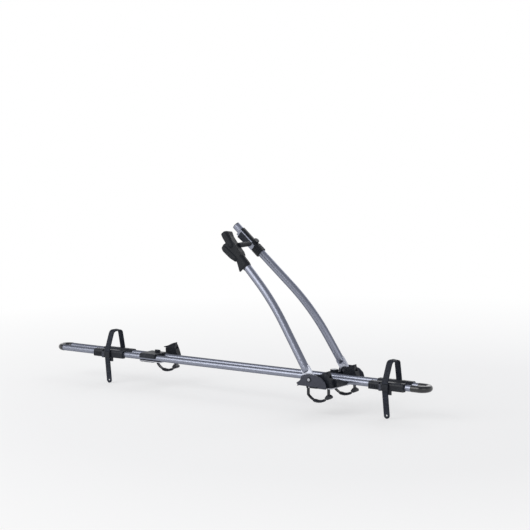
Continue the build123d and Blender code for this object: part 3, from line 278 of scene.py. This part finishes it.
def moulded(
    name, colour, light, rough, scale=1.0, depth=0.12, dust=0.12, coat=0.0, shine=0.3
):
    """Moulded plastic or rubber: mottled, rubbed lighter on edges, scratched, dusty on top, with
    painted shade in inner corners.
    """
    made, tree, shader = material(name)
    grain = use(tree, GRAIN, scale=scale, depth=depth)
    edges = use(tree, EDGES)
    scuffs = use(tree, SCUFFS, amount=0.35)
    rubbed = tuple(min(1.0, 1.8 * c + 0.015) for c in light)
    # painted shade: a darker copy of the plastic's colour, for inner corners
    dark = tuple(0.6 * c for c in colour)
    base = blend_colour(tree, spread(tree, grain.outputs["Mottle"], 0.35, 0.7), colour, light)
    base = layer(tree, base, edges.outputs["Worn"], 0.6, rubbed)
    base = blend_colour(tree, scuffs.outputs["Scratch"], base, rubbed)
    # painted shade laid into inner corners
    base = layer(tree, base, edges.outputs["Corner Shade"], 0.5, dark)
    base = layer(tree, base, grain.outputs["Dust"], dust, DUST)
    tree.links.new(base, shader.inputs["Base Color"])
    uneven = spread(tree, grain.outputs["Mottle"], 0.3, 0.7, rough - 0.07, rough + 0.07)
    tree.links.new(uneven, shader.inputs["Roughness"])
    tree.links.new(grain.outputs["Normal"], shader.inputs["Normal"])
    shader.inputs["Specular IOR Level"].default_value = shine
    shader.inputs["Coat Weight"].default_value = coat
    return made


def metal(
    name, colour, shade, rough, stretch,
    turn=0.0, depth=0.06, metallic=0.9, marks=0.3, rim=1.0,
):
    """Drawn, brushed, plated or coated metal, with painted shade in inner corners; rim is how bright
    it is at a grazing angle.
    """
    made, tree, shader = material(name)
    drawn = use(
        tree, DRAWN, turn=(0.0, math.radians(turn), 0.0), stretch=stretch, depth=depth
    )
    edges = use(tree, EDGES)
    scuffs = use(tree, SCUFFS, amount=0.3)
    worn = tuple(min(1.0, c * 1.25) for c in colour)
    # darker colour for the handling marks, and for painted shade in inner corners
    grime_and_corner_shade = tuple(c * 0.7 for c in shade)
    base = blend_colour(tree, spread(tree, drawn.outputs["Lines"], 0.3, 0.7), shade, colour)
    base = layer(tree, base, edges.outputs["Worn"], 0.6, worn)
    base = blend_colour(tree, scuffs.outputs["Scratch"], base, worn)
    base = layer(tree, base, drawn.outputs["Marks"], marks, grime_and_corner_shade)
    # painted shade laid into inner corners
    base = layer(tree, base, edges.outputs["Corner Shade"], 0.45, grime_and_corner_shade)
    tree.links.new(base, shader.inputs["Base Color"])
    uneven = spread(tree, drawn.outputs["Marks"], 0.0, 1.0, rough, rough + 0.12)
    tree.links.new(uneven, shader.inputs["Roughness"])
    tree.links.new(drawn.outputs["Normal"], shader.inputs["Normal"])
    shader.inputs["Metallic"].default_value = metallic
    shader.inputs["Specular Tint"].default_value = (rim, rim, rim, 1.0)
    return made


paint = {
    "tray": metal(
        "anodised_tray", (0.275, 0.292, 0.352), (0.235, 0.249, 0.303), 0.27,
        ALONG, depth=0.015, marks=0.08, rim=0.3,
    ),
    "arm": metal(
        "anodised_arm", (0.29, 0.307, 0.375), (0.265, 0.280, 0.343), 0.30,
        ALONG, ARM_TURN, depth=0.012, marks=0.12, rim=0.25,
    ),
    "zinc": metal(
        "zinc_steel", (0.50, 0.51, 0.55), (0.36, 0.37, 0.41), 0.30,
        EVEN, depth=0.1,
    ),
    "blade": metal(
        "bright_tongue", (0.60, 0.62, 0.70), (0.55, 0.57, 0.65), 0.38,
        ALONG, ARM_TURN, depth=0.02, marks=0.12,
    ),
    "cheek": metal(
        "dark_cheek", (0.045, 0.048, 0.068), (0.034, 0.037, 0.053), 0.45,
        EVEN, depth=0.12, metallic=0.2,
    ),
    "hook": metal(
        "dark_hook", (0.030, 0.032, 0.040), (0.020, 0.022, 0.028), 0.45,
        EVEN, depth=0.1, metallic=0.4,
    ),
    "black": moulded(
        "black_plastic", (0.007, 0.0085, 0.013), (0.011, 0.0135, 0.020), 0.42,
    ),
    "gloss": moulded(
        "gloss_black", (0.006, 0.006, 0.008), (0.010, 0.010, 0.013), 0.16,
        depth=0.02, dust=0.05, coat=0.5, shine=0.5,
    ),
    "grey": moulded(
        "grey_plastic", (0.032, 0.035, 0.048), (0.044, 0.048, 0.064), 0.40,
    ),
    "disc": moulded(
        "pale_disc", (0.42, 0.44, 0.48), (0.50, 0.52, 0.56), 0.35,
    ),
    "rubber": moulded(
        "black_rubber", (0.011, 0.0135, 0.021), (0.018, 0.022, 0.034), 0.60,
        scale=1.6, depth=0.3, shine=0.25,
    ),
    "soft": moulded(
        "soft_claw", (0.008, 0.0095, 0.013), (0.013, 0.0155, 0.021), 0.50,
        scale=1.2, depth=0.25, dust=0.05, shine=0.22,
    ),
}
BODY_FINISH = "black"            # of every node that isn't named here
finish = {
    "tray": ["rail", "far_jaw_bracket"],
    "arm": ["near_arm_tube", "far_arm_tube", "near_arm_rivets", "far_arm_rivets"],
    "blade": ["near_arm_tongue", "far_arm_tongue"],
    "cheek": ["near_cheek", "far_cheek"],
    "hook": [
        "near_clamp_hook", "far_clamp_hook", "rear_clamp_hook",
        "front_clamp_pins", "rear_clamp_pin",
    ],
    "gloss": ["front_end_loop", "rear_end_loop"],
    "grey": ["front_release_lever", "rear_release_lever"],
    "disc": ["foot_knob_disc"],
    "rubber": [
        "front_strap", "rear_strap", "front_foot_pad", "rear_pad", "far_jaw_pad", "near_claw_pad",
    ],
    "soft": ["near_claw", "cross_finger"],
    "zinc": [
        "front_foot_plate", "rear_plate", "arm_pivot_pins", "skirt_rivets",
        "tray_bolts", "tray_nuts", "front_hook_rods", "rear_hook_rod",
        "front_release_pin", "rear_release_pin", "front_anchor_pin", "rear_anchor_pin",
    ],
}
finish_of = {node: kind for kind, names in finish.items() for node in names}


# Edges and joins of the solids

EDGE_ROUND = 0.0006
wide_edges = {
    "near_cheek": 0.0013, "far_cheek": 0.0013, "front_foot_cover": 0.001, "rear_saddle": 0.001,
}
softened = {                     # voxel size, and passes of smoothing
    "near_claw": (0.0008, 10), "cross_finger": (0.0008, 3), "near_claw_pad": (0.0006, 3),
}


def dress(obj, kind, rounding=EDGE_ROUND, angle=32.0):
    """Finish, smooth shading up to an angle, and a fine rounding of sharp edges."""
    obj.data.materials.clear()
    obj.data.materials.append(paint[kind])
    obj.data.shade_smooth()
    obj.data.set_sharp_from_angle(angle=math.radians(angle))
    if rounding:
        round_edges = obj.modifiers.new("edge_rounding", "BEVEL")
        round_edges.width = rounding
        round_edges.segments = 2
        round_edges.limit_method = "ANGLE"
        round_edges.angle_limit = math.radians(angle + 8)
        round_edges.harden_normals = False


def soften(obj, voxel, passes):
    """Melt the solid's joins into one another, as in a moulding with generous blends."""
    melt = obj.modifiers.new("blend_joins", "REMESH")
    melt.mode = "VOXEL"
    melt.voxel_size = voxel
    melt.use_smooth_shade = True
    ease = obj.modifiers.new("ease_edges", "SMOOTH")
    ease.factor = 0.5
    ease.iterations = passes


for name, obj in nodes.items():
    kind = finish_of.get(name, BODY_FINISH)
    if name in softened:
        dress(obj, kind, rounding=0.0)
        soften(obj, *softened[name])
    else:
        dress(obj, kind, wide_edges.get(name, EDGE_ROUND))


# Pieces that the solids leave plain

def ring(centre, u, v, half_u, half_v, power=2.0, count=40):
    """Closed oval round a centre, in the directions u and v; a higher power squares it."""
    points = []
    for step in range(count):
        turn = 2.0 * math.pi * step / count
        c, s = math.cos(turn), math.sin(turn)
        a = half_u * math.copysign(abs(c) ** (2.0 / power), c)
        b = half_v * math.copysign(abs(s) ** (2.0 / power), s)
        points.append(centre + a * u + b * v)
    return points


def loft(name, rings, kind, body):
    """Smooth skin through rings of points, closed at both ends, that rides on a body."""
    mesh = bpy.data.meshes.new(name)
    count = len(rings[0])
    faces = []
    for row in range(len(rings) - 1):
        for step in range(count):
            a = row * count + step
            b = row * count + (step + 1) % count
            faces.append((a, b, b + count, a + count))
    last = (len(rings) - 1) * count
    faces.append(tuple(reversed(range(count))))
    faces.append(tuple(range(last, last + count)))
    mesh.from_pydata([tuple(point) for row in rings for point in row], [], faces)
    mesh.validate()
    solid = bmesh.new()
    solid.from_mesh(mesh)
    bmesh.ops.recalc_face_normals(solid, faces=solid.faces)
    solid.to_mesh(mesh)
    solid.free()
    obj = bpy.data.objects.new(name, mesh)
    scene.collection.objects.link(obj)
    dress(obj, kind, rounding=0.0, angle=50.0)
    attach(obj, body)


def swell(share):
    """Size of a closing end: 0.55 where the share is 0, and full where it is 1."""
    return 0.55 + 0.45 * share


FOLD = 0.022                     # from an arm's pivot to the fold that leans it inwards
TUBE_START = 0.042               # from the pivot to the end of the arm's tube
TONGUE_HALF = 0.004              # half the thickness of the folded tongue
TONGUE_SINK = 0.0004             # how far the shoulder's tip lies inside the tongue
SHOULDER_LENGTH = 0.016
SHOULDER_HALF = 0.0111           # half the width of the tube's own end
SHOULDER_PROUD = 1.008           # its depth as a share of the tube's
SHOULDER_OVERLAP = 0.0012        # how far it starts inside the tube
SHOULDER_STEPS = 12
SHOULDER_CURVE = 2.4             # how late it flattens: 2 is an ellipse, more is later
arm_ends = {                     # side, lean for each unit of height, rise in degrees, half depth
    "near_arm": (-1, 0.1575, 53.5, 0.01325),
    "far_arm": (1, -0.1, 59.0, 0.013),
}


def arm_shoulder(arm, side, lean, rise, deep):
    """Flattened end of an arm's tube, where it is pressed down onto its tongue."""
    c, s = math.cos(math.radians(rise)), math.sin(math.radians(rise))
    sideways = Vector((0.0, -1.0, lean)).normalized()
    upright = Vector((0.0, lean, 1.0)).normalized()
    front = Vector((1.0, 0.0, 0.0))
    up, across = s * upright - c * front, c * upright + s * front
    outer_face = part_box(arm + "_tongue")[0 if side < 0 else 1][1]
    pivot = joint_places[arm]
    fold = Vector((pivot.x - FOLD * c, outer_face - side * TONGUE_HALF, pivot.z + FOLD * s))
    middle = fold + (TUBE_START - FOLD) * up
    deep = deep * SHOULDER_PROUD
    rings = [ring(middle + SHOULDER_OVERLAP * up, sideways, across, SHOULDER_HALF, deep)]
    tip = TONGUE_HALF - TONGUE_SINK
    for step in range(SHOULDER_STEPS + 1):
        share = step / SHOULDER_STEPS
        full = math.sqrt(1.0 - share ** SHOULDER_CURVE)
        wide = tip + (SHOULDER_HALF - TONGUE_HALF) * full
        centre = middle - share * SHOULDER_LENGTH * up
        rings.append(ring(centre, sideways, across, wide, deep * swell(full), power=2.2))
    loft(arm + "_shoulder", rings, "arm", arm)


for arm, end in arm_ends.items():
    arm_shoulder(arm, *end)


HOOK_MIDDLE = Vector((0.038, 0.0, -0.0017))    # from a hook's pivot to the centre of its curve
HOOK_RADIUS = 0.0483
GRIP_REACH = (-0.017, 0.0245)    # how far the sleeve reaches to the rear and to the front
GRIP_HALF_WIDTH = 0.0092
GRIP_HALF_THICK = 0.0040
GRIP_STEPS = 28
GRIP_RIBS = 6
GRIP_RIB_SHARE = 0.05            # a rib's height as a share of the thickness
GRIP_CLOSING = 7.0               # the sleeve closes over a seventh of its length at each end


def hook_grip(hook):
    """Ribbed rubber sleeve round the curved floor of a hook."""
    middle = joint_places[hook] + HOOK_MIDDLE
    sideways = Vector((0.0, 1.0, 0.0))
    start, end = (math.asin(reach / HOOK_RADIUS) for reach in GRIP_REACH)
    rings = []
    for step in range(GRIP_STEPS + 1):
        share = step / GRIP_STEPS
        turn = start + share * (end - start)
        out = Vector((math.sin(turn), 0.0, -math.cos(turn)))
        edge = min(1.0, GRIP_CLOSING * min(share, 1.0 - share))
        full = swell(math.sqrt(1.0 - (1.0 - edge) ** 2))
        rib = 1.0 + GRIP_RIB_SHARE * math.cos(2.0 * math.pi * GRIP_RIBS * share)
        wide, thick = GRIP_HALF_WIDTH * full, GRIP_HALF_THICK * full * rib
        rings.append(ring(middle + HOOK_RADIUS * out, sideways, out, wide, thick, power=3.2))
    loft(hook + "_grip", rings, "rubber", hook)


for hook in ("near_hook", "far_hook", "rear_hook"):
    hook_grip(hook)


# Light and floor

WHITE = (1.0, 1.0, 1.0)
LAMP_AIM = Vector((-0.4, 0.0, 0.15))
ROOM_LIGHT = (0.96, 0.97, 1.0)
ROOM_STRENGTH = 0.5
OVERHEAD = (0.42, 0.43, 0.46)    # what metal mirrors from above
OVERHEAD_RISE = (0.12, 0.6)      # how steep a direction is where this sets in and where it is full
FLOOR_COLOUR = (0.88, 0.88, 0.89)
FLOOR_SIZE = 60.0
FLOOR_DROP = 0.001               # how far the floor lies below the lowest point
FLOOR_FADE = (0.9, 2.6)          # from here to here the floor fades to plain white
FLOOR_GLOW = (0.55, 1.0)         # share of plain white at those two distances


def lamp(name, where, power, size, tint=WHITE):
    """Square soft light, aimed at the middle of the carrier."""
    data = bpy.data.lights.new(name, "AREA")
    data.energy = power
    data.size = size
    data.color = tint
    obj = bpy.data.objects.new(name, data)
    obj.location = where
    obj.rotation_euler = (LAMP_AIM - Vector(where)).to_track_quat("-Z", "Y").to_euler()
    scene.collection.objects.link(obj)
    return obj


def seen_directly(tree):
    """One for rays from the camera and for reflected and refracted rays, else zero."""
    rays = add(tree, "ShaderNodeLightPath").outputs
    mirrored = math_node(tree, "MAXIMUM", rays["Is Glossy Ray"], rays["Is Transmission Ray"])
    return math_node(tree, "MAXIMUM", rays["Is Camera Ray"], mirrored)


def either(tree, share, first, second, output):
    """Send a mix of two shaders to the output."""
    mix = add(tree, "ShaderNodeMixShader")
    tree.links.new(share, mix.inputs[0])
    tree.links.new(first.outputs[0], mix.inputs[1])
    tree.links.new(second.outputs[0], mix.inputs[2])
    tree.links.new(mix.outputs[0], tree.nodes[output].inputs["Surface"])


def make_world():
    """White where it is seen, darker overhead in reflections, and a plain light on everything."""
    made = bpy.data.worlds.new("studio")
    made.use_nodes = True
    tree = made.node_tree
    light = tree.nodes["Background"]
    light.inputs["Color"].default_value = (*ROOM_LIGHT, 1.0)
    light.inputs["Strength"].default_value = ROOM_STRENGTH
    where = add(tree, "ShaderNodeTexCoord")
    parts = add(tree, "ShaderNodeSeparateXYZ")
    tree.links.new(where.outputs["Generated"], parts.inputs[0])
    overhead = spread(tree, parts.outputs["Z"], *OVERHEAD_RISE)
    backdrop = add(tree, "ShaderNodeBackground")
    tree.links.new(blend_colour(tree, overhead, WHITE, OVERHEAD), backdrop.inputs["Color"])
    backdrop.inputs["Strength"].default_value = 1.0
    either(tree, seen_directly(tree), light, backdrop, "World Output")
    return made


def make_floor():
    """Wide white floor that keeps the carrier's shadow and fades to plain white further out."""
    low = cad_box[0][2] - FLOOR_DROP
    bpy.ops.mesh.primitive_plane_add(size=FLOOR_SIZE, location=(0.0, 0.0, low))
    made = bpy.context.object
    made.name = "studio_floor"
    ground, tree, shader = material("white_floor")
    shader.inputs["Base Color"].default_value = (*FLOOR_COLOUR, 1.0)
    shader.inputs["Roughness"].default_value = 0.9
    glow = add(tree, "ShaderNodeEmission")
    glow.inputs["Strength"].default_value = 1.0
    where = add(tree, "ShaderNodeTexCoord")
    reach = add(tree, "ShaderNodeVectorMath", operation="LENGTH")
    tree.links.new(where.outputs["Object"], reach.inputs[0])
    lift = spread(tree, reach.outputs["Value"], *FLOOR_FADE, *FLOOR_GLOW)
    share = math_node(tree, "MULTIPLY", seen_directly(tree), lift)
    either(tree, share, shader, glow, "Material Output")
    made.data.materials.append(ground)
    return made


scene.view_settings.view_transform = "Standard"
scene.world = make_world()
make_floor()
lamp("key", (-2.2, -3.2, 2.6), power=80.0, size=3.2, tint=(1.0, 0.995, 0.98))
lamp("fill", (3.0, -2.4, 1.6), power=12.0, size=2.6, tint=(0.96, 0.98, 1.0))
lamp("rim", (-0.6, 2.8, 2.2), power=26.0, size=2.2)


# Camera

CAMERA_PLACE = (3.415, -5.069, 1.128)
CAMERA_YAW = 36.031              # degrees to the left of +Y
CAMERA_PITCH = 7.042             # downwards
CAMERA_ROLL = -0.507
LENS = 134.59                    # millimetres, on a film of 36


def photo_camera():
    """Camera at the photograph's place, in the carrier's frame."""
    yaw, pitch, roll = (math.radians(v) for v in (CAMERA_YAW, CAMERA_PITCH, CAMERA_ROLL))
    ahead = Vector(
        (-math.sin(yaw) * math.cos(pitch), math.cos(yaw) * math.cos(pitch), -math.sin(pitch))
    )
    level = Vector((math.cos(yaw), math.sin(yaw), 0.0))
    upward = level.cross(ahead)
    right = math.cos(roll) * level + math.sin(roll) * upward
    up = math.cos(roll) * upward - math.sin(roll) * level
    data = bpy.data.cameras.new("photo_view")
    data.lens = LENS
    data.sensor_width = 36.0
    obj = bpy.data.objects.new("photo_view", data)
    turn = Matrix((right, up, -ahead)).transposed().to_4x4()
    obj.matrix_world = Matrix.Translation(CAMERA_PLACE) @ turn
    scene.collection.objects.link(obj)
    return obj


scene.camera = photo_camera()
